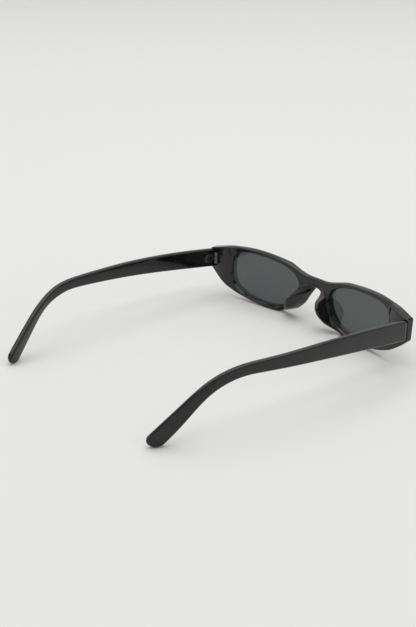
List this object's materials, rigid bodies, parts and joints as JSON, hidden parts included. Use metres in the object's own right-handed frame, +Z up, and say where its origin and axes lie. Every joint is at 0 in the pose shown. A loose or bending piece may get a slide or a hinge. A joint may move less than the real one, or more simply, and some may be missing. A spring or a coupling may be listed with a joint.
{
  "type": "sunglasses",
  "caption": "Slim oval sunglasses: a moulded front with built-in nose pads, smoke lenses held in grooves, and curved temples that fold on screwed metal hinges.",
  "frame": {"origin": "centre of the floor rectangle under the whole part, as it stands open on a table", "axes": "+X towards the wearer's left, +Y from the front towards the temple tips, +Z up"},
  "size_m": [0.1456, 0.155, 0.0303],
  "materials": {
    "frame": "polished gloss black",
    "temples": "polished gloss black",
    "lens": "polished, smoke grey tint",
    "hinge": "satin gunmetal",
    "screw": "turned"
  },
  "bodies": {
    "front_body": {"front_frame": "frame", "lens_left": "lens", "lens_right": "lens", "hinge_front_leaf_left": "hinge", "hinge_front_leaf_right": "hinge", "hinge_screw_left": "screw", "hinge_screw_right": "screw"},
    "left_temple_body": {"temple_left": "temples", "hinge_temple_leaf_left": "hinge"},
    "right_temple_body": {"temple_right": "temples", "hinge_temple_leaf_right": "hinge"}
  },
  "joints": [
    {"name": "fold_left", "type": "hinge", "parent": "front_body", "child": "left_temple_body", "pos_m": [0.06725, -0.06375, 0.0203], "axis": [0, 0, 1], "range_deg": [0, 85]},
    {"name": "fold_right", "type": "hinge", "parent": "front_body", "child": "right_temple_body", "pos_m": [-0.06725, -0.06375, 0.0203], "axis": [0, 0, -1], "range_deg": [0, 64]}
  ]
}
